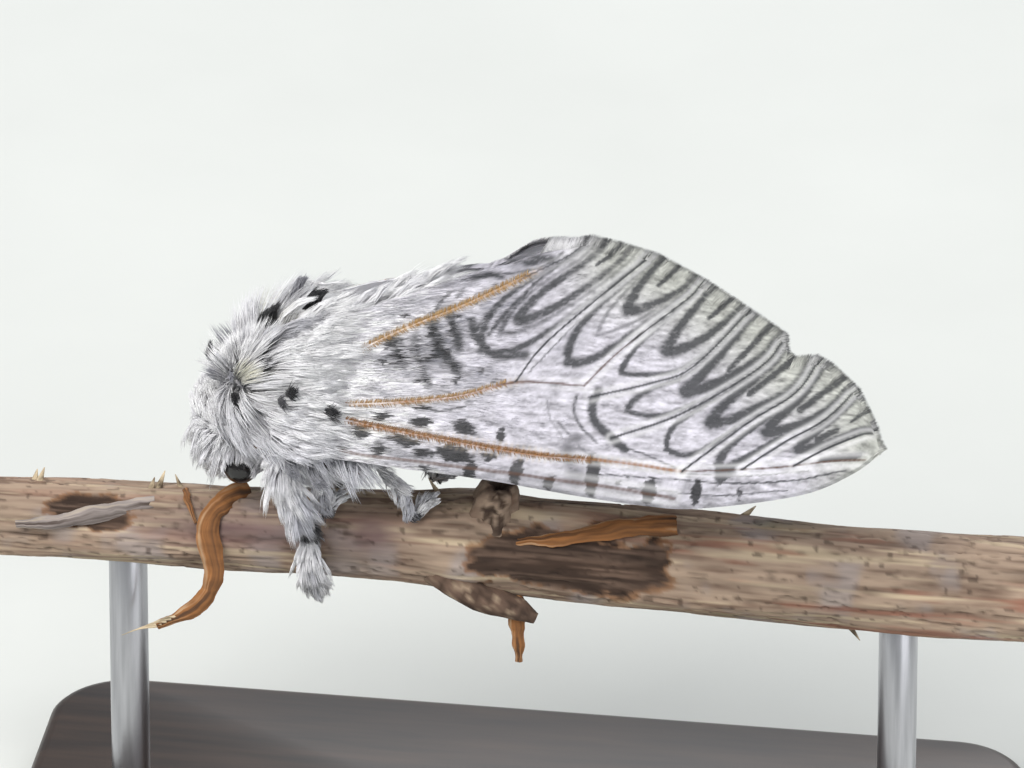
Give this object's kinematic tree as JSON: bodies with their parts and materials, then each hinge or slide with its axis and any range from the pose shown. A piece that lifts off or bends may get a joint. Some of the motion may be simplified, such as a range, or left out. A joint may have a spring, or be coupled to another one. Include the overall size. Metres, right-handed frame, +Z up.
{
  "type": "puss moth model on a perch",
  "caption": "Life-size still model of a furry grey moth at rest, wings roofed over its back, gripping a cut length of branch on a plain flat stand.",
  "frame": {"origin": "centre of the stand base's underside", "axes": "+X along the branch towards the moth's tail, -X towards its head, -Y towards its left side, +Z up"},
  "size_m": [0.072, 0.03, 0.0449],
  "materials": {
    "fur": "long soft white and grey hair",
    "wing": "matt grey scales with dark zigzag lines and orange-brown veins",
    "eye": "glossy near black",
    "antenna": "dark brown comb",
    "bark": "dead peeling bark, matt",
    "base": "dark satin wood",
    "rod": "satin steel"
  },
  "bodies": {
    "root": {"head": "fur", "thorax": "fur", "abdomen": "fur", "eye_left": "eye", "eye_right": "eye", "antenna_left": "antenna", "antenna_right": "antenna", "forewing_left": "wing", "forewing_right": "wing", "hindwing_left": "wing", "hindwing_right": "wing", "leg_fore_left": "fur", "leg_fore_right": "fur", "leg_mid_left": "fur", "leg_mid_right": "fur", "leg_hind_left": "fur", "leg_hind_right": "fur", "perch": "bark", "stand_base": "base", "stand_rod_left": "rod", "stand_rod_right": "rod"}
  },
  "joints": []
}
